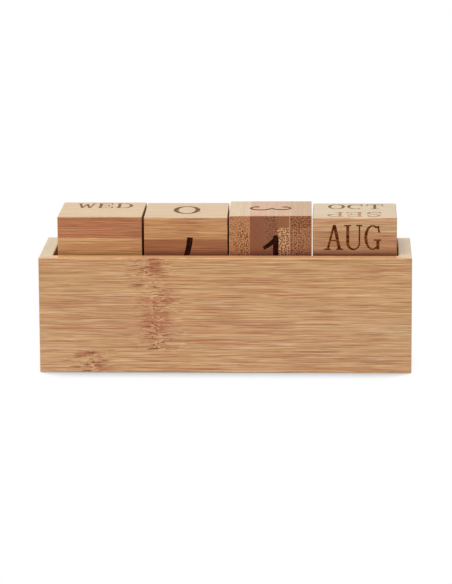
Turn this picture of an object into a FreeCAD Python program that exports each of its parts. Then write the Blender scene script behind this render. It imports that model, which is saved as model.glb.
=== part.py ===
import FreeCAD, Part
import math
import os

Vector = FreeCAD.Vector

# A perpetual desk calendar in bamboo, in millimetres: four cubes stand in a recess
# along the top of a case, and a drawer runs under them. +Z is up, +X runs along
# the row of cubes, and the drawer opens towards +Y, the side that is read. The
# origin is the centre of the footprint, on the surface that the case stands on.

# The cubes, and the recess that they are lifted out of
cube_edge = 40.0
cube_ease = 0.5
row_play = 5.0
recess_play = 1.5
recess_depth = 21.6
back_gap = 0.8

# Each cube is sanded by hand, so it is a little over or under size across and
# upright, stands a little turned in its play, and keeps its own gap on the left.
# name: (over size across, over size upright, turn in degrees, gap on its left)
cubes = {
    "weekday_cube": (0.40, 0.10, 0.0, 2.25),
    "units_cube": (0.00, -0.10, 0.8, 0.44),
    "tens_cube": (-0.55, 0.75, 0.75, 0.17),
    "month_cube": (0.20, -0.25, 0.0, 0.36),
}

# The case: back and end walls mitred together, open towards the drawer
wall = 6.5
wall_ease = 0.5
base_thickness = 5.0
base_rebate = 3.0
bay_height = 24.4
shelf_thickness = 5.0
shelf_tongue = 2.0
rail_thickness = 5.0
rail_lip = 4.0
rail_rebate = 2.5

# The drawer, which runs on the base between the end walls
drawer_side_play = 0.4
drawer_top_play = 0.5
drawer_back_play = 0.8
front_thickness = 6.0
front_lift = 0.4
front_rebate = 3.0
scoop_radius = 9.0
side_thickness = 4.0
side_height = 21.0
back_thickness = 4.0
back_tongue = 2.0
bottom_thickness = 3.0
bottom_lift = 2.0
bottom_tongue = 2.0
drawer_ease = 0.4

# Where the case's faces lie
inner_half = (len(cubes) * cube_edge + row_play) / 2
case_half = inner_half + wall
case_depth = wall + cube_edge + recess_play + rail_thickness
case_front = case_depth / 2
case_back = -case_depth / 2
inner_back = case_back + wall
rail_back = case_front - rail_thickness
shelf_under = base_thickness + bay_height
shelf_top = shelf_under + shelf_thickness
case_top = shelf_top + recess_depth

# Where the drawer's faces lie
drawer_half = inner_half - drawer_side_play
drawer_rear = inner_back + drawer_back_play
front_rear = case_front - front_thickness
front_top = shelf_under - drawer_top_play
side_inner = drawer_half - side_thickness
side_top = base_thickness + side_height
back_front = drawer_rear + back_thickness
bottom_under = base_thickness + bottom_lift

# How far a cutter runs past the face that it opens, and how close a face counts as the same
overrun = 1.0
same_place = 1e-6


def board(x_span, y_span, z_span):
    """A square-edged board between three pairs of faces."""
    corner = Vector(x_span[0], y_span[0], z_span[0])
    length = x_span[1] - x_span[0]
    depth = y_span[1] - y_span[0]
    height = z_span[1] - z_span[0]
    return Part.makeBox(length, depth, height, corner)


def across(half):
    """The span from left to right of something centred on the case."""
    return (-half, half)


def ease(shape, radius, is_eased):
    """Round over the edges whose middles pass the given test."""
    edges = [edge for edge in shape.Edges if is_eased(edge.CenterOfMass)]
    return shape.makeFillet(radius, edges)


def lies_on(value, *faces):
    """True where a coordinate lies on one of the named faces."""
    return any(abs(value - face) < same_place for face in faces)


# --- The case -----------------------------------------------------------------


def shelf_blank():
    """The board that the cubes stand on, with its tongues."""
    return board(
        across(inner_half + shelf_tongue),
        (inner_back - shelf_tongue, rail_back + rail_rebate),
        (shelf_under, shelf_top),
    )


def base_blank():
    """The board under the drawer, let into rebates and flush underneath."""
    return board(
        across(inner_half + base_rebate),
        (inner_back - base_rebate, case_front),
        (0, base_thickness),
    )


def base_panel():
    """The base, with the edge under the drawer front rounded over."""
    return ease(base_blank(), wall_ease, lambda middle: lies_on(middle.y, case_front) and lies_on(middle.x, 0))


def front_rail():
    """The lip that stops the cubes, rebated over the edge of the shelf."""
    blank = board(across(inner_half), (rail_back, case_front), (shelf_under, shelf_top + rail_lip))
    eased = ease(blank, wall_ease, lambda middle: lies_on(middle.x, 0) and not is_under_shelf(middle))
    return eased.cut(shelf_blank())


def is_under_shelf(middle):
    """The rail's lower inner edge, where it meets the underside of the shelf."""
    return lies_on(middle.z, shelf_under) and lies_on(middle.y, rail_back)


def wall_form():
    """Back and end walls in one U, with the edges that a hand meets rounded over."""
    outside = board(across(case_half), (case_back, case_front), (0, case_top))
    inside = board(across(inner_half), (inner_back, case_front + overrun), (-overrun, case_top + overrun))

    def is_outer(middle):
        on_side = lies_on(middle.x, -case_half, case_half) or lies_on(middle.y, case_back, case_front)
        return on_side or lies_on(middle.z, case_top)

    return ease(outside.cut(inside), wall_ease, is_outer)


def mitred_part(corners):
    """The stretch of wall inside an outline, grooved and rebated for the boards it holds."""
    points = [Vector(x, y, 0) for x, y in corners]
    outline = Part.Face(Part.makePolygon(points + points[:1]))
    stretch = wall_form().common(outline.extrude(Vector(0, 0, case_top)))
    return stretch.cut([shelf_blank(), base_blank()])


def back_panel():
    """The plain long wall, mitred at both ends."""
    return mitred_part([
        (-case_half, case_back),
        (case_half, case_back),
        (inner_half, inner_back),
        (-inner_half, inner_back),
    ])


def end_panel(side):
    """One short wall, mitred to the back wall; side is -1 on the left and 1 on the right."""
    return mitred_part([
        (side * case_half, case_back),
        (side * inner_half, inner_back),
        (side * inner_half, case_front),
        (side * case_half, case_front),
    ])


# --- The drawer ---------------------------------------------------------------


def side_blank(side):
    """One side of the drawer before its joints are cut."""
    near = min(side * side_inner, side * drawer_half)
    far = max(side * side_inner, side * drawer_half)
    return board((near, far), (drawer_rear, front_rear + front_rebate), (base_thickness, side_top))


def back_blank():
    """The back of the drawer before it is grooved for the bottom."""
    return board(across(side_inner + back_tongue), (drawer_rear, back_front), (base_thickness, side_top))


def drawer_bottom():
    """The thin panel that floats in grooves all round."""
    return board(
        across(side_inner + bottom_tongue),
        (back_front - bottom_tongue, front_rear + bottom_tongue),
        (bottom_under, bottom_under + bottom_thickness),
    )


def drawer_side(side):
    """A side, rebated for the back and grooved for the bottom."""
    eased = ease(side_blank(side), drawer_ease, lambda middle: lies_on(middle.z, side_top) and lies_on_side(middle))
    return eased.cut([back_blank(), drawer_bottom()])


def lies_on_side(middle):
    """True on an edge that runs along a side of the drawer, and not across its end."""
    return lies_on(abs(middle.x), side_inner, drawer_half)


def drawer_back():
    """The back, grooved for the bottom."""
    return back_blank().cut(drawer_bottom())


def finger_scoop():
    """The half-round bite in the top of the drawer front that a finger pulls by."""
    start = Vector(0, front_rear - overrun, front_top)
    return Part.makeCylinder(scoop_radius, front_thickness + 2 * overrun, start, Vector(0, 1, 0))


def drawer_front():
    """The front, rebated over the ends of the sides, grooved for the bottom and scooped."""
    blank = board(across(drawer_half), (front_rear, case_front), (base_thickness + front_lift, front_top))
    scooped = blank.cut(finger_scoop())
    eased = ease(scooped, drawer_ease, lambda middle: lies_on(middle.y, case_front))
    return eased.cut([side_blank(-1), side_blank(1), drawer_bottom()])


# --- The cubes ----------------------------------------------------------------


def standing_cubes():
    """The four cubes on the shelf, from the left, each beside the last."""
    shapes = {}
    left = -inner_half
    middle_y = inner_back + back_gap + cube_edge / 2
    for name, (over_across, over_upright, turn, gap) in cubes.items():
        width = cube_edge + over_across
        height = cube_edge + over_upright
        angle = math.radians(abs(turn))
        footprint = width * math.cos(angle) + cube_edge * math.sin(angle)
        cube = board(across(width / 2), across(cube_edge / 2), (0, height))
        cube = cube.makeFillet(cube_ease, cube.Edges)
        cube.rotate(Vector(0, 0, 0), Vector(0, 0, 1), turn)
        cube.translate(Vector(left + gap + footprint / 2, middle_y, shelf_top))
        shapes[name] = cube
        left += gap + footprint
    return shapes


def all_nodes():
    """Every piece of the calendar, under its name."""
    return {
        "back_panel": back_panel(),
        "left_end_panel": end_panel(-1),
        "right_end_panel": end_panel(1),
        "cube_shelf": shelf_blank(),
        "base_panel": base_panel(),
        "front_rail": front_rail(),
        "drawer_front": drawer_front(),
        "drawer_left_side": drawer_side(-1),
        "drawer_right_side": drawer_side(1),
        "drawer_back": drawer_back(),
        "drawer_bottom": drawer_bottom(),
        **standing_cubes(),
    }


os.makedirs("parts", exist_ok=True)
for node, shape in all_nodes().items():
    shape.exportStep("parts/" + node + ".step")
    print(node, len(shape.Solids), shape.isValid(), round(shape.Volume), shape.BoundBox)
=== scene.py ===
import math
from typing import NamedTuple

import bmesh
import bpy
from bpy.props import FloatProperty, FloatVectorProperty, PointerProperty
from mathutils import Matrix, Vector


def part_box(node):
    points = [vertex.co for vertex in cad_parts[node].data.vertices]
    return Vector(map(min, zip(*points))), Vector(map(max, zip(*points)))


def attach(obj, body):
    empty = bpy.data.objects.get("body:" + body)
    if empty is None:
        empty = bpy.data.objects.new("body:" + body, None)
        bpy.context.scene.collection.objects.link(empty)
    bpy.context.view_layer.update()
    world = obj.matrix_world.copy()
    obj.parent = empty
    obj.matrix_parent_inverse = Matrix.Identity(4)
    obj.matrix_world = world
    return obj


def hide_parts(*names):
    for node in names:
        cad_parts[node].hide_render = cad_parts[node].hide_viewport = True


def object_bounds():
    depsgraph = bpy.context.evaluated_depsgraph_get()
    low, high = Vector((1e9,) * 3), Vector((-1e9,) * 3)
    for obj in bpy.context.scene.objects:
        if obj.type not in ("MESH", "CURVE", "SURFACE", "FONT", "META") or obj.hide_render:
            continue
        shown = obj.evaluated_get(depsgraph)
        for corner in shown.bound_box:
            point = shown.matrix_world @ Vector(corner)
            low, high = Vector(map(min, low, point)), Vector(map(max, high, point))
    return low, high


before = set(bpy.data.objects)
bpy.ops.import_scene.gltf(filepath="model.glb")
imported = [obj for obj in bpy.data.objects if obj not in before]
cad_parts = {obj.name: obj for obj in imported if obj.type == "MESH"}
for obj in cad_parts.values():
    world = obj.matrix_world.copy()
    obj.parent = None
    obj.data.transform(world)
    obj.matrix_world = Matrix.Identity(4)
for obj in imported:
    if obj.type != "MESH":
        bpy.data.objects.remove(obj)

# A perpetual desk calendar in bamboo: a case with a drawer under four engraved cubes. The
# boards keep the shapes they have in the frame and get their wood here; the cubes are
# engraved here, each in place of its plain one.

cad_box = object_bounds()

bl_info = {
    "name": "Bamboo Desk Calendar",
    "version": (1, 0, 0),
    "blender": (4, 5, 0),
    "location": "View3D > Sidebar > Calendar",
    "description": "Finishes the boards, the engraved cubes and the stage of a bamboo desk calendar",
    "category": "Object",
}

MM = 0.001


def srgb(text):
    """An sRGB hex colour such as #C89B70 as linear RGBA."""
    channels = [int(text[i:i + 2], 16) / 255 for i in (1, 3, 5)]
    linear = [c / 12.92 if c <= 0.04045 else ((c + 0.055) / 1.055) ** 2.4 for c in channels]
    return (*linear, 1.0)


# --- What a user would change ---------------------------------------------------------------


class BambooSettings(bpy.types.PropertyGroup):
    """Colours of the bamboo and the real sizes of its figure."""

    straw: FloatVectorProperty(
        name="Straw", description="Ground colour between the fibres",
        subtype="COLOR", size=4, min=0, max=1, default=srgb("#D1A573"))
    blush: FloatVectorProperty(
        name="Blush", description="Reddish cast that steaming leaves along some fibres",
        subtype="COLOR", size=4, min=0, max=1, default=srgb("#C68D64"))
    fibre: FloatVectorProperty(
        name="Fibre", description="Darker colour of the fibre streaks",
        subtype="COLOR", size=4, min=0, max=1, default=srgb("#A8764A"))
    streak: FloatProperty(
        name="Streak width", description="Width of a fibre streak across the grain",
        subtype="DISTANCE", unit="LENGTH", default=0.36 * MM, min=0.1 * MM)
    bundle: FloatProperty(
        name="Bundle spacing", description="Distance between the fibre bundles that show on end grain",
        subtype="DISTANCE", unit="LENGTH", default=0.92 * MM, min=0.2 * MM)


class EngravingSettings(bpy.types.PropertyGroup):
    """Sizes of the engraved words and figures."""

    depth: FloatProperty(
        name="Depth", description="How deep the laser burns",
        subtype="DISTANCE", unit="LENGTH", default=0.18 * MM, min=0.05 * MM)
    word_height: FloatProperty(
        name="Word height", description="Height of the capitals in a day or a month",
        subtype="DISTANCE", unit="LENGTH", default=12.2 * MM)
    word_pitch: FloatProperty(
        name="Word pitch", description="Distance from the middle of one letter to the next",
        subtype="DISTANCE", unit="LENGTH", default=9.25 * MM)
    figure_height: FloatProperty(
        name="Figure height", description="Height of a day figure",
        subtype="DISTANCE", unit="LENGTH", default=20.4 * MM)


class StudioSettings(bpy.types.PropertyGroup):
    """Where the camera stands and how bright the light tent is."""

    lens: FloatProperty(name="Lens", description="Focal length in millimetres", default=199.5, min=20)
    distance: FloatProperty(
        name="Distance", description="From the camera to the point that it aims at",
        subtype="DISTANCE", unit="LENGTH", default=1563 * MM)
    yaw: FloatProperty(
        name="Yaw", description="How far the camera is turned to its left",
        subtype="ANGLE", default=math.radians(2.2))
    pitch: FloatProperty(
        name="Pitch", description="How far the camera looks down",
        subtype="ANGLE", default=math.radians(11.63))
    roll: FloatProperty(
        name="Roll", description="How far the camera leans to its right",
        subtype="ANGLE", default=math.radians(-0.32))
    tent: FloatProperty(name="Tent", description="Brightness of the white tent", default=0.44, min=0)
    key: FloatProperty(name="Key", description="Power of the softbox in watts", default=18.6, min=0)


# --- Nodes ----------------------------------------------------------------------------------

MATH = "ShaderNodeMath"
VECTOR = "ShaderNodeVectorMath"
MIX = "ShaderNodeMix"
RANGE = "ShaderNodeMapRange"
NOISE = "ShaderNodeTexNoise"
CELLS = "ShaderNodeTexVoronoi"
COLOUR = {"data_type": "RGBA"}
MULTIPLIED = {"data_type": "RGBA", "blend_type": "MULTIPLY"}
EASED = {"interpolation_type": "SMOOTHSTEP"}


def add(tree, kind, values=(), **settings):
    """Add a node with its settings, and fill its live sockets, in order or by name, with values or links."""
    node = tree.nodes.new(kind)
    for name, setting in settings.items():
        setattr(node, name, setting)
    live = [socket for socket in node.inputs if socket.enabled]
    given = values if isinstance(values, dict) else dict(enumerate(values))
    for key, value in given.items():
        socket = live[key] if isinstance(key, int) else next(s for s in live if s.name == key)
        if isinstance(value, bpy.types.Node):
            value = next(s for s in value.outputs if s.enabled)
        if isinstance(value, bpy.types.NodeSocket):
            tree.links.new(value, socket)
        else:
            socket.default_value = value
    return node


def new_material(name):
    """An empty node material and its tree."""
    material = bpy.data.materials.new(name)
    material.use_nodes = True
    material.node_tree.nodes.clear()
    return material, material.node_tree


# --- The figure of bamboo -------------------------------------------------------------------

# Rubbed-in oil over sanded bamboo, end grain that soaks its oil up, and bare bamboo as sawn
OILED_ROUGHNESS = 0.3
END_ROUGHNESS = 0.75
SAWN_ROUGHNESS = 0.8
OIL_IOR = 1.48
# Over how many millimetres, each way, a sanded face turns into one left as sawn
SAWN_BLEND = 0.2
# From how far apart in the culm the strips of a board come, along it and through it, in millimetres
CULM_LENGTH = 600.0
CULM_DEPTH = 90.0
# How high the fibres stand out of sanded bamboo, how strongly that shows, and a hole's depth beside it
FIBRE_RELIEF = 0.08 * MM
FIBRE_RELIEF_STRENGTH = 0.25
HOLE_DEPTH = 0.4
# How far fibres wander anywhere and swerve at a knuckle, in millimetres, and how often they turn in one
WANDER = 0.15
SWERVE = 2.4
TURNS_PER_MM = 0.12
# Colours of a cut bundle and of a pit, and how crowded the bundles are where nothing else is said
CUT_BUNDLE = srgb("#5A2C12")
PIT = srgb("#6B3313")
USUAL_CROWDING = 0.6
# A face counts as looking one way between these two cosines, so that its rounded edges blend
FACING = (0.7, 0.9)
# How much of the paler colour, painted light, shows where a face looks up
TOP_LIGHT_SHARE = 0.5
# Where a culm had its joint, in millimetres: how far from its middle the mark is full and how far it
# reaches along the grain, and how far and how often its middle wanders
KNUCKLE_CORE = 0.5
KNUCKLE_REACH = 14.0
KNUCKLE_RAG = 8.0
KNUCKLE_RAG_LENGTH = 4.0
# Painted shade on a cube's back just above the rim: full this near to it, reaching this far up and fading
# faster below, in this colour
RIM_SHADE_FULL = 0.3 * MM
RIM_SHADE_REACH = 3.2 * MM
RIM_SHADE_FADE_BELOW = 3.0
RIM_SHADE_COLOUR = srgb("#966E4A")


def streaks(tree, point, length, width, shift):
    """Noise drawn out along the grain into streaks, in millimetres; shift tells one pattern from another."""
    drawn = add(tree, VECTOR, [point, (1 / length, 1 / width, 1 / width), (shift, shift, shift)],
                operation="MULTIPLY_ADD")
    return add(tree, NOISE, {"Vector": drawn, "Scale": 1.0, "Detail": 2.0, "Roughness": 0.6})


def fibres(tree, settings, point):
    """A face along the grain and its height: straw, a reddish cast, soft streaks, pale and dark fibres."""
    width = settings.streak / MM
    layers = (
        # colour, length and width in millimetres, noise where the streak starts and is full, strength
        (settings.blush, 110.0, 7 * width, 0.44, 0.64, 0.75),
        (srgb("#CBA672"), 90.0, 6 * width, 0.50, 0.66, 0.7),
        (settings.fibre, 34.0, 1.3 * width, 0.44, 0.62, 0.5),
        (srgb("#E8C6A0"), 26.0, 0.9 * width, 0.52, 0.66, 0.7),
        (srgb("#B06438"), 28.0, width, 0.56, 0.67, 0.85),
        (srgb("#8A552C"), 24.0, 0.8 * width, 0.53, 0.63, 0.7),
    )
    wood = settings.straw
    for number, (color, length, breadth, start, full, strength) in enumerate(layers):
        noise = streaks(tree, point, length, breadth, 31.7 * number)
        shown = add(tree, RANGE, [noise, start, full, 0.0, strength], **EASED)
        wood = add(tree, MIX, [shown, wood, color], **COLOUR)
    return wood, noise


def knuckle_marks(tree, wood, point, knuckle):
    """The wood where a culm had its joint, and its pits: a reddish patch, dark dashes and pale bridges."""
    core = add(tree, RANGE, [knuckle, 0.68, 0.9, 0.0, 1.0], **EASED)
    halo = add(tree, RANGE, [knuckle, 0.18, 0.9, 0.0, 1.0], **EASED)
    for color, length, breadth, start, full, strength, mask in (
            # as in fibres, and where in the knuckle
            (srgb("#AC643A"), 26.0, 4.5, 0.48, 0.62, 0.75, halo),
            (srgb("#8A4A26"), 10.0, 1.1, 0.52, 0.63, 0.95, halo),
            (srgb("#E8B994"), 3.0, 0.9, 0.56, 0.63, 0.7, core)):
        noise = streaks(tree, point, length, breadth, 7.3 * length)
        shown = add(tree, RANGE, [noise, start, full, 0.0, strength], **EASED)
        here = add(tree, MATH, [shown, mask], operation="MULTIPLY")
        wood = add(tree, MIX, [here, wood, color], **COLOUR)
    # A pit just under a millimetre wide in most cells of 2 mm
    cells = add(tree, CELLS, {"Vector": point, "Scale": 0.5})
    open_pits = add(tree, RANGE, [cells, 0.12, 0.28, 0.9, 0.0], **EASED)
    deep = add(tree, RANGE, [knuckle, 0.8, 0.92, 0.0, 1.0], **EASED)
    pits = add(tree, MATH, [open_pits, deep], operation="MULTIPLY")
    return add(tree, MIX, [pits, wood, PIT], **COLOUR), pits


def cut_bundles(tree, settings, point, crowding):
    """End grain: the dark ends of the fibre bundles, crowded in some places and sparse in others."""
    sides = add(tree, "ShaderNodeSeparateXYZ", [point]).outputs
    face = add(tree, "ShaderNodeCombineXYZ", [sides[1], sides[2]])
    cells = add(tree, CELLS, {"Vector": face, "Scale": MM / settings.bundle, "Randomness": 0.8},
                voronoi_dimensions="2D")
    dots = add(tree, RANGE, [cells, 0.24, 0.46, 1.0, 0.0], **EASED)
    patches = add(tree, RANGE, [streaks(tree, point, 400.0, 6.0, 3.0), 0.4, 0.6, 0.0, 1.0], **EASED)
    even = add(tree, MATH, [patches, crowding], operation="ADD")
    crowded = add(tree, MATH, [crowding, even], operation="MULTIPLY", use_clamp=True)
    return add(tree, MATH, [dots, crowded], operation="MULTIPLY")


def bamboo_figure(settings):
    """The figure that all the bamboo shares, at a point given as millimetres along, across and through."""
    group = bpy.data.node_groups.new("bamboo_figure", "ShaderNodeTree")
    for name, kind in (("Point", "Vector"), ("Knuckle", "Float"), ("Stain", "Color"),
                       ("End grain", "Float"), ("End ground", "Color"), ("Crowding", "Float")):
        group.interface.new_socket(name, in_out="INPUT", socket_type="NodeSocket" + kind)
    for name, kind in (("Color", "Color"), ("Height", "Float")):
        group.interface.new_socket(name, in_out="OUTPUT", socket_type="NodeSocket" + kind)
    given = add(group, "NodeGroupInput").outputs

    # Fibres wander a little, and swerve where they cross a knuckle
    swirl = add(group, NOISE, {"Vector": given["Point"], "Scale": TURNS_PER_MM, "Detail": 1.0})
    aside = add(group, VECTOR, [swirl.outputs["Color"], (0.5, 0.5, 0.5)], operation="SUBTRACT")
    reach = add(group, MATH, [given["Knuckle"], SWERVE, WANDER], operation="MULTIPLY_ADD")
    swerve = add(group, VECTOR, [aside, reach], operation="SCALE")
    bent = add(group, VECTOR, [given["Point"], swerve], operation="ADD")

    wood, raised = fibres(group, settings, bent)
    wood, pits = knuckle_marks(group, wood, bent, given["Knuckle"])
    stained = add(group, MIX, [1.0, wood, given["Stain"]], **MULTIPLIED)
    dots = cut_bundles(group, settings, given["Point"], given["Crowding"])
    end = add(group, MIX, [dots, given["End ground"], CUT_BUNDLE], **COLOUR)

    # Sanding leaves the fibres faintly proud, and the pits and the cut bundles just open
    holes = add(group, MIX, [given["End grain"], pits, dots], data_type="FLOAT")
    dents = add(group, MATH, [holes, HOLE_DEPTH], operation="MULTIPLY")
    add(group, "NodeGroupOutput", {
        "Color": add(group, MIX, [given["End grain"], stained, end], **COLOUR),
        "Height": add(group, MATH, [raised, dents], operation="SUBTRACT"),
    })
    return group


class Cut(NamedTuple):
    """How a piece is sawn from laminated bamboo, in millimetres from the piece's own origin.

    axes are those along the grain, across the strips and through them. first is where a joint
    between strips lies, and stains are the casts of the strips from there on. knuckles are
    (middle along the grain, from, to across it); sticks are the pieces that show on end grain,
    (from, to across, from, to through, ground colour, how crowded its bundles are). A face
    that lies nearer to the middle than sawn, through the strips, is hidden in use and left as
    sawn; below 0, none is. top is the paler colour painted onto the upper face as painted
    light, and rim_shade is how dark the painted shade is on a cube just above the rim.
    """
    axes: str
    strip: float = 15.0
    first: float = 0.0
    stains: tuple = ("#FFFFFF",)
    knuckles: tuple = ()
    sticks: tuple = ()
    end_ground: str = "#B88355"
    sawn: float = -1.0
    top: str = "#D1A573"
    rim_shade: float = 0.0
    seed: float = 0.0


def knuckle_bands(tree, along, across, cut):
    """1 in the middle of each knuckle and 0 past its reach, ragged, in the strips that it crosses."""
    line = add(tree, "ShaderNodeCombineXYZ", [cut.seed, across])
    ragged = add(tree, NOISE, {"Vector": line, "Scale": 1 / KNUCKLE_RAG_LENGTH, "Detail": 2.0})
    wander = add(tree, MATH, [ragged, KNUCKLE_RAG, along], operation="MULTIPLY_ADD")
    bands = 0.0
    for middle, low, high in cut.knuckles:
        off = add(tree, MATH, [wander, middle + KNUCKLE_RAG / 2], operation="SUBTRACT")
        away = add(tree, MATH, [off], operation="ABSOLUTE")
        near = add(tree, RANGE, [away, KNUCKLE_CORE, KNUCKLE_REACH, 1.0, 0.0])
        inside = add(tree, MATH, [across, (low + high) / 2, (high - low) / 2], operation="COMPARE")
        band = add(tree, MATH, [near, inside], operation="MULTIPLY")
        bands = add(tree, MATH, [band, bands], operation="MAXIMUM")
    return bands


def painted_rim_shade(tree, color, place, rim, depth):
    """Paint shade softly onto the back of a cube just above the rim of the case, given in metres up the cube.
    """
    height = add(tree, "ShaderNodeSeparateXYZ", [place["Object"]]).outputs["Z"]
    off = add(tree, MATH, [height, rim], operation="SUBTRACT")
    below = add(tree, MATH, [off, -RIM_SHADE_FADE_BELOW], operation="MULTIPLY")
    away = add(tree, MATH, [off, below], operation="MAXIMUM")
    band = add(tree, RANGE, [away, RIM_SHADE_FULL, RIM_SHADE_REACH, depth, 0.0])
    facing = add(tree, "ShaderNodeSeparateXYZ", [place["Normal"]]).outputs["Y"]
    is_back = add(tree, MATH, [facing, -FACING[1]], operation="LESS_THAN")
    rim_shade = add(tree, MATH, [band, is_back], operation="MULTIPLY")
    return add(tree, MIX, [rim_shade, color, RIM_SHADE_COLOUR], **MULTIPLIED)


def painted_top_light(tree, color, place, top_light_colour):
    """Paint the faces that look up towards a paler colour, as painted light from above."""
    up = add(tree, "ShaderNodeSeparateXYZ", [place["Normal"]]).outputs["Z"]
    lit_share = add(tree, RANGE, [up, *FACING, 0.0, TOP_LIGHT_SHARE], **EASED)
    return add(tree, MIX, [lit_share, color, top_light_colour], **COLOUR)


def bamboo(name, figure, cut, rim=None):
    """Carbonised bamboo, planed, glued in strips, sanded and oiled: fine streaks under a soft sheen."""
    material, tree = new_material(name)
    place = add(tree, "ShaderNodeTexCoord").outputs
    size = add(tree, VECTOR, [place["Object"], 1 / MM], operation="SCALE")
    sides = add(tree, "ShaderNodeSeparateXYZ", [size]).outputs
    along, across, through = (sides["XYZ".index(axis)] for axis in cut.axes)

    # Each strip comes from another place in the culm
    counted = add(tree, MATH, [across, 1 / cut.strip, -cut.first / cut.strip], operation="MULTIPLY_ADD")
    strip = add(tree, MATH, [counted], operation="FLOOR")
    seeded = add(tree, MATH, [strip, cut.seed], operation="ADD")
    chance = add(tree, "ShaderNodeTexWhiteNoise", [seeded], noise_dimensions="1D")
    slid = add(tree, MATH, [chance, CULM_LENGTH, along], operation="MULTIPLY_ADD")
    sunk = add(tree, MATH, [chance, CULM_DEPTH, through], operation="MULTIPLY_ADD")

    stain = srgb(cut.stains[0])
    for number, cast in enumerate(cut.stains[1:], 1):
        past = add(tree, MATH, [strip, number - 0.5], operation="GREATER_THAN")
        stain = add(tree, MIX, [past, stain, srgb(cast)], **COLOUR)

    ground = srgb(cut.end_ground)
    crowding = USUAL_CROWDING
    for left, right, low, high, color, crowd in cut.sticks:
        beside = add(tree, MATH, [across, (left + right) / 2, (right - left) / 2], operation="COMPARE")
        level = add(tree, MATH, [through, (low + high) / 2, (high - low) / 2], operation="COMPARE")
        here = add(tree, MATH, [beside, level], operation="MULTIPLY")
        ground = add(tree, MIX, [here, ground, srgb(color)], **COLOUR)
        crowding = add(tree, MIX, [here, crowding, crowd], data_type="FLOAT")

    looks = add(tree, "ShaderNodeSeparateXYZ", [place["Normal"]]).outputs["XYZ".index(cut.axes[0])]
    squarely = add(tree, MATH, [looks], operation="ABSOLUTE")
    end_grain = add(tree, RANGE, [squarely, *FACING, 0.0, 1.0], **EASED)
    drawn = add(tree, "ShaderNodeGroup", {
        "Point": add(tree, "ShaderNodeCombineXYZ", [slid, across, sunk]),
        "Knuckle": knuckle_bands(tree, along, across, cut),
        "Stain": stain,
        "End grain": end_grain,
        "End ground": ground,
        "Crowding": crowding,
    }, node_tree=figure)
    # Painted light: the faces that look up are painted towards top, a paler colour
    top_light_colour = add(tree, MIX, [1.0, srgb(cut.top), stain], **MULTIPLIED)
    color = painted_top_light(tree, drawn.outputs["Color"], place, top_light_colour)
    # Painted shade on the back of a cube, just above the rim of the case
    if rim is not None:
        color = painted_rim_shade(tree, color, place, rim, cut.rim_shade)
    depth = add(tree, MATH, [through], operation="ABSOLUTE")
    oiled = add(tree, RANGE, [
        depth, cut.sawn - SAWN_BLEND, cut.sawn + SAWN_BLEND, SAWN_ROUGHNESS, OILED_ROUGHNESS])
    roughness = add(tree, MIX, [end_grain, oiled, END_ROUGHNESS], data_type="FLOAT")
    bump = add(tree, "ShaderNodeBump", {
        "Strength": FIBRE_RELIEF_STRENGTH, "Distance": FIBRE_RELIEF, "Height": drawn.outputs["Height"]})
    surface = add(tree, "ShaderNodeBsdfPrincipled", {
        "Base Color": color, "Roughness": roughness, "IOR": OIL_IOR, "Normal": bump})
    add(tree, "ShaderNodeOutputMaterial", {"Surface": surface})
    return material


# Soot is matt, scatters little straight back and is hazy towards the side
SOOT_ROUGHNESS = 0.9
SOOT_SPECULAR = 0.05
HAZE_ROUGHNESS = 0.3
HAZE_TINT = srgb("#F6CCA4")
# Length and width in millimetres of the patches that the laser burns less
SCORCH_SIZE = (8.0, 1.2)


def burnt_bamboo(name, char, scorch, char_top_light, axes):
    """Bamboo charred by a laser: sooty, so it is dark from the front and hazy where seen along the face."""
    material, tree = new_material(name)
    place = add(tree, "ShaderNodeTexCoord").outputs
    size = add(tree, VECTOR, [place["Object"], 1 / MM], operation="SCALE")
    sides = add(tree, "ShaderNodeSeparateXYZ", [size]).outputs
    point = add(tree, "ShaderNodeCombineXYZ", [sides["XYZ".index(axis)] for axis in axes])
    uneven = add(tree, RANGE, [streaks(tree, point, *SCORCH_SIZE, 5.0), 0.35, 0.7, 0.0, 1.0], **EASED)
    burnt = add(tree, MIX, [uneven, srgb(char), srgb(scorch)], **COLOUR)
    # Painted light: the char is painted paler on the faces that look up
    color = painted_top_light(tree, burnt, place, srgb(char_top_light))
    surface = add(tree, "ShaderNodeBsdfPrincipled", {
        "Base Color": color, "Roughness": SOOT_ROUGHNESS, "Specular IOR Level": SOOT_SPECULAR,
        "Sheen Weight": 1.0, "Sheen Roughness": HAZE_ROUGHNESS, "Sheen Tint": HAZE_TINT})
    add(tree, "ShaderNodeOutputMaterial", {"Surface": surface})
    return material


# --- Engraved letters and figures -----------------------------------------------------------

# Strokes are outlines in units of the capital height, about an upright middle line
HEAVY = 0.118
LIGHT = 0.06
SERIF = 0.06
ARC_STEPS = 10


def leg(x0, y0, x1, y1, width=HEAVY):
    """A straight stroke with both ends cut level."""
    half = width / 2
    return [(x0 - half, y0), (x0 + half, y0), (x1 + half, y1), (x1 - half, y1)]


def bar(x0, x1, y, width=LIGHT):
    """A level stroke with its ends cut upright."""
    half = width / 2
    return [(x0, y - half), (x1, y - half), (x1, y + half), (x0, y + half)]


def foot(x, y=0.0, reach=0.13):
    """A slab serif that stands on the base line, or hangs from the top one where y is 1."""
    return bar(x - reach, x + reach, abs(y - SERIF / 2), SERIF)


def bow(x, y, rx, ry, start, end, side=HEAVY, cap=LIGHT, shift=0.0):
    """A bent stroke round an ellipse; shift moves its inside over, for a heavy left and a light right."""
    angles = [math.radians(start + (end - start) * step / ARC_STEPS) for step in range(ARC_STEPS + 1)]
    outer = [(x + rx * math.cos(a), y + ry * math.sin(a)) for a in angles]
    inner = [(x + shift + (rx - side) * math.cos(a), y + (ry - cap) * math.sin(a)) for a in angles]
    return outer + inner[::-1]


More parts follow.
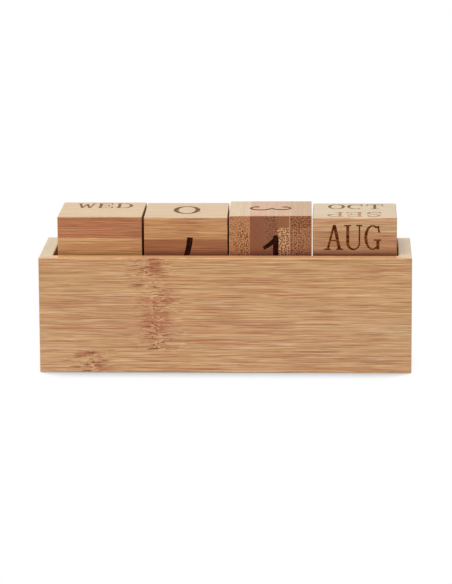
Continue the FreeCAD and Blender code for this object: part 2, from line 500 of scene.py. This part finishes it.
def sweep(start, pull, end, width, end_width):
    """A stroke along one curve, pulled towards a point, that changes its width evenly."""
    left, right = [], []
    for step in range(ARC_STEPS + 1):
        t = step / ARC_STEPS
        a, b, c = (Vector(p) for p in (start, pull, end))
        middle = (1 - t) ** 2 * a + 2 * t * (1 - t) * b + t ** 2 * c
        run = ((1 - t) * (b - a) + t * (c - b)).normalized()
        half = ((1 - t) * width + t * end_width) / 2
        left.append((middle.x - run.y * half, middle.y + run.x * half))
        right.append((middle.x + run.y * half, middle.y - run.x * half))
    return left + right[::-1]


def ball(x, y, radius):
    """A round blob at the end of a stroke."""
    angles = [2 * math.pi * step / ARC_STEPS for step in range(ARC_STEPS)]
    return [(x + radius * math.cos(a), y + radius * math.sin(a)) for a in angles]


def ring(x, y, rx, ry, side=HEAVY, cap=LIGHT):
    """A closed bow, as its two halves."""
    return [bow(x, y, rx, ry, -90, 90, side, cap), bow(x, y, rx, ry, 90, 270, side, cap)]


GLYPHS = {
    "A": [leg(-0.24, 0.02, 0.01, 1, 0.085), leg(0.225, 0.02, 0.02, 1, 0.125),
          bar(-0.16, 0.16, 0.38, 0.055), foot(-0.25, 0, 0.13), foot(0.23, 0, 0.135)],
    "B": [leg(-0.2, 0, -0.2, 1), bar(-0.32, 0.01, 0.97), bar(-0.2, 0.03, 0.53), bar(-0.32, 0.03, 0.03),
          bow(0, 0.757, 0.27, 0.243, -90, 90), bow(0.02, 0.275, 0.3, 0.275, -90, 90)],
    "C": [bow(0, 0.5, 0.345, 0.505, 52, 308), leg(0.255, 0.69, 0.22, 0.97, 0.075)],
    "D": [leg(-0.205, 0, -0.205, 1), bar(-0.325, 0, 0.97), bar(-0.325, 0, 0.03),
          bow(-0.02, 0.5, 0.36, 0.5, -90, 90)],
    "E": [leg(-0.19, 0, -0.19, 1), bar(-0.305, 0.275, 0.97), bar(-0.19, 0.14, 0.52), bar(-0.305, 0.305, 0.03),
          leg(0.25, 0.72, 0.25, 1, SERIF), leg(0.14, 0.41, 0.14, 0.63, SERIF),
          leg(0.28, 0, 0.28, 0.3, SERIF)],
    "F": [leg(-0.185, 0, -0.185, 1), bar(-0.305, 0.285, 0.97), bar(-0.185, 0.14, 0.5), foot(-0.165, 0, 0.17),
          leg(0.258, 0.72, 0.258, 1, SERIF), leg(0.14, 0.39, 0.14, 0.61, SERIF)],
    "G": [bow(0, 0.5, 0.33, 0.505, 52, 308), leg(0.255, 0.69, 0.21, 0.97, 0.075),
          leg(0.205, 0.03, 0.205, 0.4), bar(0.04, 0.34, 0.4, SERIF)],
    "H": [leg(-0.2, 0, -0.2, 1), leg(0.2, 0, 0.2, 1), bar(-0.2, 0.2, 0.52),
          foot(-0.2, 0, 0.125), foot(0.2, 0, 0.125), foot(-0.2, 1, 0.125), foot(0.2, 1, 0.125)],
    "I": [leg(0, 0, 0, 1), foot(0, 0, 0.17), foot(0, 1, 0.17)],
    "J": [leg(0.09, 0.26, 0.09, 1), foot(0.09, 1, 0.17), bow(-0.085, 0.265, 0.234, 0.27, 180, 360),
          leg(-0.27, 0.24, -0.27, 0.38, 0.1)],
    "L": [leg(-0.14, 0, -0.14, 1), foot(-0.14, 1, 0.16), bar(-0.27, 0.29, 0.03),
          leg(0.265, 0, 0.265, 0.3, SERIF)],
    "M": [leg(-0.25, 0, -0.25, 1, 0.07), leg(0.25, 0, 0.25, 1), leg(-0.02, 0.22, -0.25, 1, 0.12),
          leg(-0.01, 0.22, 0.24, 1, 0.065), foot(-0.25, 0, 0.1), foot(0.25, 0, 0.11),
          foot(-0.29, 1, 0.07), foot(0.29, 1, 0.07)],
    "N": [leg(-0.2, 0, -0.2, 1, LIGHT), leg(0.21, 0, 0.21, 1, LIGHT), leg(0.18, 0, -0.19, 1, 0.13),
          foot(-0.2, 0, 0.12), foot(0.21, 1, 0.12), foot(-0.25, 1, 0.08)],
    "O": ring(0, 0.5, 0.34, 0.51),
    "P": [leg(-0.185, 0, -0.185, 1), foot(-0.165, 0, 0.17), bar(-0.305, 0.03, 0.97), bar(-0.185, 0.03, 0.47),
          bow(0.02, 0.72, 0.295, 0.28, -90, 90)],
    "R": [leg(-0.2, 0, -0.2, 1), foot(-0.19, 0, 0.15), bar(-0.32, 0.01, 0.97), bar(-0.2, 0.01, 0.49),
          bow(0, 0.73, 0.27, 0.27, -90, 90), leg(0.23, 0.02, 0.03, 0.5, 0.12), foot(0.25, 0, 0.1)],
    "S": [bow(0, 0.75, 0.26, 0.255, 25, 270, 0.1, 0.075), bow(0, 0.27, 0.28, 0.275, -155, 90, 0.105, 0.08),
          leg(0.243, 0.7, 0.218, 0.99, SERIF), leg(-0.243, 0.02, -0.263, 0.32, SERIF)],
    "T": [leg(0, 0, 0, 1), foot(0, 0, 0.17), bar(-0.33, 0.33, 0.97),
          leg(-0.303, 0.72, -0.303, 1, SERIF), leg(0.303, 0.72, 0.303, 1, SERIF)],
    "U": [leg(-0.213, 0.27, -0.213, 1), leg(0.242, 0.27, 0.242, 1, LIGHT), foot(-0.22, 1, 0.135),
          foot(0.235, 1, 0.12), bow(0, 0.272, 0.272, 0.28, 180, 360, 0.089, 0.07, 0.029)],
    "V": [leg(0, 0, -0.24, 1, 0.125), leg(0.02, 0, 0.24, 1, 0.07),
          foot(-0.24, 1, 0.125), foot(0.24, 1, 0.11)],
    "W": [leg(-0.14, 0, -0.28, 1, 0.1), leg(-0.13, 0, 0, 0.85, 0.06), leg(0.15, 0, 0.01, 0.85, 0.1),
          leg(0.165, 0, 0.29, 1, 0.06), foot(-0.28, 1, 0.1), foot(0.29, 1, 0.09)],
    "Y": [leg(0, 0.4, -0.23, 1, 0.125), leg(0.02, 0.42, 0.23, 1, 0.07), leg(0, 0, 0, 0.46), foot(0, 0, 0.15),
          foot(-0.23, 1, 0.12), foot(0.23, 1, 0.11)],
    "0": ring(0, 0.5, 0.32, 0.5),
    "1": [leg(0.125, 0, 0.125, 0.96, 0.126), sweep((0.15, 0.945), (0.01, 0.77), (-0.163, 0.69), 0.12, 0.085),
          bow(0.125, 0.945, 0.063, 0.055, 0, 180, 0.062, 0.054)],
    "2": [bow(0, 0.72, 0.27, 0.28, -5, 165), sweep((0.21, 0.72), (0.2, 0.46), (-0.23, 0.07), 0.115, 0.07),
          bar(-0.28, 0.27, 0.045, 0.09), leg(0.24, 0, 0.27, 0.2, SERIF)],
    "3": [bow(-0.01, 0.755, 0.24, 0.245, -95, 150), bow(-0.01, 0.27, 0.28, 0.27, -150, 95),
          ball(-0.175, 0.84, 0.075), ball(-0.2, 0.165, 0.08)],
    "4": [leg(0.1, 0, 0.1, 1), leg(-0.28, 0.3, 0.09, 1, 0.075), bar(-0.31, 0.31, 0.3, 0.065),
          foot(0.1, 0, 0.15)],
    "5": [bar(-0.2, 0.25, 0.955, 0.09), leg(-0.2, 0.48, -0.19, 1, LIGHT),
          bow(-0.01, 0.3, 0.29, 0.3, -150, 135)],
    "6": [*ring(0, 0.29, 0.28, 0.29), sweep((-0.225, 0.3), (-0.2, 0.86), (0.2, 0.96), 0.11, 0.06)],
    "7": [sweep((-0.1, 0), (-0.07, 0.45), (0.22, 0.94), 0.14, 0.11), bar(-0.26, 0.28, 0.955, 0.09),
          leg(-0.24, 0.76, -0.24, 1, LIGHT)],
    # The upper ring stands a hair to the right, so that no two strokes have a side in the same plane
    "8": [*ring(0.005, 0.76, 0.23, 0.24), *ring(0, 0.27, 0.28, 0.27)],
}

# What is engraved on each face of a cube: the way it faces, the way its words stand up, and
# the words. A second word stands on its head below the first.
WEEKDAYS = (("+Z", "+Y", ("WED",)), ("-Y", "-Z", ("THU",)), ("+Y", "+Z", ("MON",)),
            ("+X", "+Z", ("TUE",)), ("-X", "+Z", ("FRI",)), ("-Z", "+Y", ("SAT", "SUN")))
UNITS = (("+Z", "+Y", ("0",)), ("-Y", "-Z", ("7",)), ("+Y", "+Z", ("6",)),
         ("+X", "+Z", ("1",)), ("-X", "+Z", ("8",)), ("-Z", "+Y", ("2",)))
TENS = (("+Z", "+X", ("3",)), ("-Y", "+Z", ("1",)), ("+Y", "+Z", ("2",)),
        ("+X", "+Z", ("4",)), ("-X", "+Z", ("5",)), ("-Z", "+Y", ("0",)))
MONTHS = (("+Z", "+Y", ("OCT", "SEP")), ("-Y", "+Z", ("AUG", "JUL")), ("+Y", "+Z", ("JUN", "MAY")),
          ("+X", "+Z", ("APR", "MAR")), ("-X", "+Z", ("DEC", "NOV")), ("-Z", "+Y", ("FEB", "JAN")))
# How far above the middle of a face the middle of a word stands
WORD_RISE = 10.4 * MM
# How far right and up a word has slipped in the laser's jig, in millimetres
SLIPS = {"WED": (0.8, 0.0), "OCT": (0.5, 0.0), "AUG": (-0.7, 0.0), "1": (0.0, 0.8)}
# Words that the laser burnt only faintly
FAINT = ("SEP",)
# How far the strokes that cut a cube stand out of its face
CUTTER_OVERRUN = 0.4 * MM
# Corners of a cube's mesh nearer than this are one corner, and its faces meet sharply past this angle
WELD = 0.001 * MM
SHARP_ANGLE = math.radians(35)
# Faces whose normals are this near to the way a cube's back looks are part of its flat back
FLAT_BACK = 0.99


def axis_of(sign_and_letter):
    """The unit vector that a name such as -Y stands for."""
    axis = Vector()
    axis["XYZ".index(sign_and_letter[1])] = float(sign_and_letter[0] + "1")
    return axis


def laid_out(words, settings):
    """Every stroke of a face's words, as points from the middle of the face, with its material's slot."""
    for number, word in enumerate(words):
        is_figure = word.isdigit()
        height = settings.figure_height if is_figure else settings.word_height
        slip_right, slip_up = (slip * MM for slip in SLIPS.get(word, (0.0, 0.0)))
        rise = slip_up if is_figure else slip_up + WORD_RISE
        way_up = 1 - 2 * number
        slot = 2 if word in FAINT else 1
        for place, letter in enumerate(word):
            middle = slip_right + (place - (len(word) - 1) / 2) * settings.word_pitch
            for outline in GLYPHS[letter]:
                upright = [(middle + x * height, rise + (y - 0.5) * height) for x, y in outline]
                yield [(way_up * x, way_up * y) for x, y in upright], slot


def add_prism(mesh, outline, face, right, up, depth, out):
    """Add a closed prism on an outline, from depth below the face to a little above it."""
    floor = [mesh.verts.new(face + right * x + up * y - out * depth) for x, y in outline]
    lid = [mesh.verts.new(face + right * x + up * y + out * CUTTER_OVERRUN) for x, y in outline]
    rings = [floor[::-1], lid]
    for i, low in enumerate(floor):
        after = (i + 1) % len(floor)
        rings.append((low, floor[after], lid[after], lid[i]))
    return [mesh.faces.new(ring) for ring in rings]


def cutter_for(name, faces, half_size, settings):
    """All the strokes of a cube's six faces as one object, in the cube's own axes."""
    strokes = bmesh.new()
    for facing, standing, words in faces:
        out = axis_of(facing)
        up = axis_of(standing)
        face = Vector(a * b for a, b in zip(out, half_size))
        for outline, slot in laid_out(words, settings):
            for side in add_prism(strokes, outline, face, up.cross(out), up, settings.depth, out):
                side.material_index = slot
    bmesh.ops.recalc_face_normals(strokes, faces=strokes.faces)
    mesh = bpy.data.meshes.new(name)
    strokes.to_mesh(mesh)
    strokes.free()
    return bpy.data.objects.new(name, mesh)


def standing_frame(node):
    """Where a cube stands and how far it is turned: its own middle and axes."""
    low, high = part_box(node)
    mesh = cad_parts[node].data
    back = sum((side.normal * side.area for side in mesh.polygons if side.normal.y < -FLAT_BACK), Vector())
    turned = Matrix.Rotation(math.atan2(back.x, -back.y), 4, "Z")
    return Matrix.Translation((Vector(low) + Vector(high)) / 2) @ turned


def welded_copy(node, place):
    """A cube's own mesh in its own axes, with its faces joined up."""
    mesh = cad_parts[node].data.copy()
    mesh.transform(place.inverted())
    skin = bmesh.new()
    skin.from_mesh(mesh)
    bmesh.ops.remove_doubles(skin, verts=skin.verts, dist=WELD)
    skin.to_mesh(mesh)
    skin.free()
    return mesh


def applied(piece):
    """The piece's mesh with its modifiers applied."""
    piece.data = bpy.data.meshes.new_from_object(piece.evaluated_get(bpy.context.evaluated_depsgraph_get()))
    piece.modifiers.clear()
    return piece.data


def engrave(node, body, faces, figure, cut, burns, settings):
    """Put an engraved cube in place of a plain one."""
    place = standing_frame(node)
    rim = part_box("back_panel")[1][2] - place.translation.z
    materials = (bamboo(node + "_bamboo", figure, cut, rim), *burns)
    mesh = welded_copy(node, place)
    mesh.materials.clear()
    for material in materials:
        mesh.materials.append(material)
    mesh.polygons.foreach_set("material_index", [0] * len(mesh.polygons))
    cube = bpy.data.objects.new(node + "_engraved", mesh)
    half_size = [max(vertex.co[i] for vertex in mesh.vertices) for i in range(3)]
    cutter = cutter_for(node + "_strokes", faces, half_size, settings)
    for piece in (cube, cutter):
        bpy.context.collection.objects.link(piece)
        piece.matrix_world = place
    for material in materials:
        cutter.data.materials.append(material)
    cube.modifiers.new("laser", "BOOLEAN")
    cube.modifiers["laser"].object = cutter
    cube.modifiers["laser"].solver = "EXACT"
    cube.modifiers["laser"].use_self = True
    engraved = applied(cube)
    bpy.data.objects.remove(cutter)
    engraved.polygons.foreach_set("use_smooth", [True] * len(engraved.polygons))
    engraved.set_sharp_from_angle(angle=SHARP_ANGLE)
    cube.modifiers.new("even faces", "WEIGHTED_NORMAL").keep_sharp = True
    applied(cube)
    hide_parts(node)
    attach(cube, body)


# --- Pieces ---------------------------------------------------------------------------------

# How the boards of the case and drawer are sawn, by node
# Each top is the paler colour that the upper face is painted towards, as painted light
CASE_CUTS = {
    "back_panel": Cut(
        "XZY", first=-4.2, stains=("#FFFFFF", "#FFFFFF", "#FFFCF8", "#FFFCF4"), sawn=20.5,
        top="#DAAA7E", seed=3.0,
        knuckles=((-37.0, 41.0, 55.9), (-32.5, 11.0, 41.0), (-65.0, -1.0, 11.0))),
    "left_end_panel": Cut(
        "YZX", first=-4.2, sawn=83.0, top="#CCC098", seed=21.0, knuckles=((8.0, 26.0, 41.0),)),
    "right_end_panel": Cut("YZX", first=-4.2, sawn=83.0, top="#E2CC98", seed=34.0),
    "cube_shelf": Cut("XYZ", first=-20.0, sawn=40.0, seed=47.0, knuckles=((52.0, -5.0, 10.0),)),
    "base_panel": Cut("XYZ", first=-22.5, seed=55.0, knuckles=((-20.0, -7.5, 7.5), (38.0, 7.5, 27.0))),
    "front_rail": Cut("XZY", first=29.3, sawn=22.0, seed=68.0, knuckles=((44.0, 29.0, 39.0),)),
}
DRAWER_CUTS = {
    "drawer_front": Cut(
        "XZY", first=4.0, stains=("#FFFFFF", "#FFFAF4"), sawn=21.0, seed=72.0, knuckles=((48.0, 4.0, 19.0),)),
    "drawer_left_side": Cut("YZX", first=4.9, sawn=78.5, seed=83.0),
    "drawer_right_side": Cut("YZX", first=4.9, sawn=78.5, seed=95.0),
    "drawer_back": Cut("XZY", first=4.9, sawn=30.0, seed=101.0),
    "drawer_bottom": Cut("XYZ", first=-16.0, sawn=30.0, seed=113.0, knuckles=((-48.0, -1.0, 14.0),)),
}
# rim_shade is how dark the painted shade is on a cube's back just above the rim
# In the first two the last cast is that of the thin layer left on top
# top is the paler colour that a cube's upper face is painted towards, as painted light
WEEKDAY_CUT = Cut(
    "XZY", strip=10.0, first=-20.1, top="#CAB87E", rim_shade=0.35, seed=130.0,
    stains=("#FFECD8", "#FFFFFF", "#FCF2D8", "#E4BEA8", "#FFF8F0"))
UNITS_CUT = Cut(
    "XZY", strip=10.0, first=-20.7, top="#C8AC76", rim_shade=0.65, seed=142.0,
    stains=("#FFFFFF", "#FFFFFF", "#CA9C72", "#F6E4CC", "#FFFFFF"))
MONTH_CUT = Cut(
    "XZY", strip=20.0, first=-7.0, top="#C4BA90", rim_shade=0.9, seed=157.0,
    stains=("#ECDED6", "#FFFFFF"))
TENS_CUT = Cut(
    "YXZ", strip=9.75, first=-19.5, top="#CAB88A", rim_shade=0.6, seed=166.0,
    stains=("#FFFFFF", "#F4D4C4", "#F2D2C0", "#E2CAA4"),
    sticks=(
        (-19.8, -9.7, -21.0, 21.0, "#BE8253", 0.7),
        (-9.7, -3.0, -21.0, 21.0, "#8C5234", 0.25),
        (-3.0, 3.2, -21.0, 21.0, "#905A3A", 0.6),
        (3.2, 9.0, -21.0, 14.6, "#CE9A6C", 1.0),
        (3.2, 9.0, 14.6, 21.0, "#935C3A", 0.2),
        (9.0, 9.5, -21.0, 21.0, "#B98A66", 0.0),
        (9.5, 19.8, 14.4, 21.0, "#A06238", 1.0),
        (9.5, 19.8, -21.0, 14.4, "#AC744C", 0.8),
    ))


def shared_figure(context):
    """The bamboo's figure, made once."""
    return bpy.data.node_groups.get("bamboo_figure") or bamboo_figure(context.scene.calendar_bamboo)


def finish_boards(cuts, figure):
    """Give each board of a set its own piece of the wood."""
    for node, cut in cuts.items():
        wood = bamboo(node + "_bamboo", figure, cut)
        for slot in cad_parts[node].material_slots:
            slot.material = wood


class CALENDAR_OT_case(bpy.types.Operator):
    """Finish the boards of the case in oiled bamboo"""

    bl_idname = "calendar.case"
    bl_label = "Case"

    def execute(self, context):
        finish_boards(CASE_CUTS, shared_figure(context))
        return {"FINISHED"}


class CALENDAR_OT_drawer(bpy.types.Operator):
    """Finish the boards of the drawer in oiled bamboo"""

    bl_idname = "calendar.drawer"
    bl_label = "Drawer"

    def execute(self, context):
        finish_boards(DRAWER_CUTS, shared_figure(context))
        return {"FINISHED"}


class CALENDAR_OT_cubes(bpy.types.Operator):
    """Engrave the four cubes with days, figures and months"""

    bl_idname = "calendar.cubes"
    bl_label = "Engraved cubes"

    def execute(self, context):
        figure = shared_figure(context)
        settings = context.scene.calendar_engraving
        word = burnt_bamboo(
            "laser_burnt_words", char="#4E1B06", scorch="#80471F", char_top_light="#9C6E4D", axes="XZY")
        faint = burnt_bamboo(
            "faintly_laser_burnt_words", char="#9C704C", scorch="#B68E68", char_top_light="#C8A888", axes="XZY")
        number = burnt_bamboo(
            "laser_burnt_figures", char="#200805", scorch="#3E1C10", char_top_light="#92684A", axes="YXZ")
        for node, body, faces, cut, burns in (
                ("weekday_cube", "weekday", WEEKDAYS, WEEKDAY_CUT, (word,)),
                ("units_cube", "units", UNITS, UNITS_CUT, (number,)),
                ("tens_cube", "tens", TENS, TENS_CUT, (number,)),
                ("month_cube", "month", MONTHS, MONTH_CUT, (word, faint))):
            engrave(node, body, faces, figure, cut, burns, settings)
        return {"FINISHED"}


# --- Stage ----------------------------------------------------------------------------------

# The point that the camera and the softbox aim at
AIM = Vector((-0.26, -6.5, 35.42)) * MM
# Half the width of the paper, and how far it lies under the case so that it touches nothing
FLOOR_HALF = 3000 * MM
FLOOR_DROP = 0.02 * MM
PAPER = srgb("#F0F0F0")
# How far from the case its shadow shows, and how far what casts it is sought towards the case
SHADOW_REACH = 24 * MM
SHADOW_LEAN = 0.8
# How open a place on the paper is where its shadow is darkest and where it ends, and how bright it is there
SHADOW_OPENNESS = (0.08, 0.6)
SHADOW_DARKEST = 0.3
KEY_PLACE = Vector((-300, -500, 1400)) * MM
KEY_WIDTH = 1000 * MM


def seen_directly(tree):
    """1 for what the eye sees, straight, mirrored or through glass, and 0 for light on the object."""
    path = add(tree, "ShaderNodeLightPath").outputs
    mirrored = add(tree, MATH, [path["Is Glossy Ray"], path["Is Transmission Ray"]], operation="MAXIMUM")
    return add(tree, MATH, [path["Is Camera Ray"], mirrored], operation="MAXIMUM")


def paper_sweep():
    """White paper, matt: it lights the object from below, and shows only the shadow close under it."""
    material, tree = new_material("white_paper_sweep")
    # Light comes from above the middle, so the shadow lies before and behind and hardly at the ends
    point = add(tree, "ShaderNodeNewGeometry").outputs["Position"]
    along = add(tree, "ShaderNodeSeparateXYZ", [point]).outputs["Y"]
    lean = add(tree, RANGE, [along, cad_box[0].y, cad_box[1].y, SHADOW_LEAN, -SHADOW_LEAN])
    towards = add(tree, "ShaderNodeCombineXYZ", [0.0, lean, 0.6])
    aimed = add(tree, VECTOR, [towards], operation="NORMALIZE")
    close = add(tree, "ShaderNodeAmbientOcclusion", {"Distance": SHADOW_REACH, "Normal": aimed}, samples=16)
    shade = add(tree, RANGE, [close.outputs["AO"], *SHADOW_OPENNESS, SHADOW_DARKEST, 1.0], **EASED)
    white = add(tree, "ShaderNodeEmission", {"Strength": shade})
    paper = add(tree, "ShaderNodeBsdfDiffuse", {"Color": PAPER})
    shown = add(tree, "ShaderNodeMixShader", [seen_directly(tree), paper, white])
    add(tree, "ShaderNodeOutputMaterial", {"Surface": shown})
    return material


def add_floor():
    """A floor wide enough to fill every view."""
    corners = ((-1, -1), (1, -1), (1, 1), (-1, 1))
    mesh = bpy.data.meshes.new("floor")
    mesh.from_pydata([(x * FLOOR_HALF, y * FLOOR_HALF, -FLOOR_DROP) for x, y in corners], [], [(0, 1, 2, 3)])
    mesh.materials.append(paper_sweep())
    floor = bpy.data.objects.new("floor", mesh)
    bpy.context.collection.objects.link(floor)


def add_tent(scene, strength):
    """A white tent all round: pure white to the eye, a little softer as light."""
    world = bpy.data.worlds.new("light_tent")
    world.use_nodes = True
    tree = world.node_tree
    tree.nodes.clear()
    level = add(tree, MIX, [seen_directly(tree), strength, 1.0], data_type="FLOAT")
    tent = add(tree, "ShaderNodeBackground", {"Color": (1.0, 1.0, 1.0, 1.0), "Strength": level})
    add(tree, "ShaderNodeOutputWorld", {"Surface": tent})
    scene.world = world


def add_key(power):
    """A softbox above and to the left of the plain side."""
    lamp = bpy.data.lights.new("softbox", "AREA")
    lamp.energy = power
    lamp.size = KEY_WIDTH
    key = bpy.data.objects.new("softbox", lamp)
    aimed = (AIM - KEY_PLACE).to_track_quat("-Z", "Y").to_matrix().to_4x4()
    key.matrix_world = Matrix.Translation(KEY_PLACE) @ aimed
    bpy.context.collection.objects.link(key)


def add_camera(scene, settings):
    """A long lens that looks down on the plain side, a little from the right."""
    data = bpy.data.cameras.new("camera")
    data.lens = settings.lens
    data.sensor_width = 36.0
    camera = bpy.data.objects.new("camera", data)
    turned = Matrix.Rotation(settings.yaw, 4, "Z") @ Matrix.Rotation(math.pi / 2 - settings.pitch, 4, "X")
    back_off = Matrix.Translation((0, 0, settings.distance))
    camera.matrix_world = Matrix.Translation(AIM) @ turned @ Matrix.Rotation(settings.roll, 4, "Z") @ back_off
    bpy.context.collection.objects.link(camera)
    scene.camera = camera


class CALENDAR_OT_stage(bpy.types.Operator):
    """Set out the floor, the light tent, the softbox and the camera"""

    bl_idname = "calendar.stage"
    bl_label = "Stage"

    def execute(self, context):
        settings = context.scene.calendar_studio
        add_floor()
        add_tent(context.scene, settings.tent)
        add_key(settings.key)
        add_camera(context.scene, settings)
        context.scene.view_settings.view_transform = "Standard"
        return {"FINISHED"}


class CALENDAR_PT_sidebar(bpy.types.Panel):
    """Builds the calendar step by step"""

    bl_label = "Desk calendar"
    bl_space_type = "VIEW_3D"
    bl_region_type = "UI"
    bl_category = "Calendar"

    def draw(self, context):
        for group, operators in (
                ("calendar_bamboo", ("calendar.case", "calendar.drawer")),
                ("calendar_engraving", ("calendar.cubes",)),
                ("calendar_studio", ("calendar.stage",))):
            box = self.layout.box()
            settings = getattr(context.scene, group)
            for name in settings.__annotations__:
                box.prop(settings, name)
            for operator in operators:
                box.operator(operator)


SETTINGS = {
    "calendar_bamboo": BambooSettings,
    "calendar_engraving": EngravingSettings,
    "calendar_studio": StudioSettings,
}
OPERATORS = (CALENDAR_OT_case, CALENDAR_OT_drawer, CALENDAR_OT_cubes, CALENDAR_OT_stage)


def register():
    """Register every class, and give each scene its settings."""
    for cls in (*SETTINGS.values(), *OPERATORS, CALENDAR_PT_sidebar):
        bpy.utils.register_class(cls)
    for name, cls in SETTINGS.items():
        setattr(bpy.types.Scene, name, PointerProperty(type=cls))


def unregister():
    """Take back what register did."""
    for name in SETTINGS:
        delattr(bpy.types.Scene, name)
    for cls in (CALENDAR_PT_sidebar, *OPERATORS, *SETTINGS.values()):
        bpy.utils.unregister_class(cls)


def main():
    """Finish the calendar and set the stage."""
    register()
    bpy.ops.calendar.case()
    bpy.ops.calendar.drawer()
    bpy.ops.calendar.cubes()
    bpy.ops.calendar.stage()


if __name__ == "__main__":
    main()
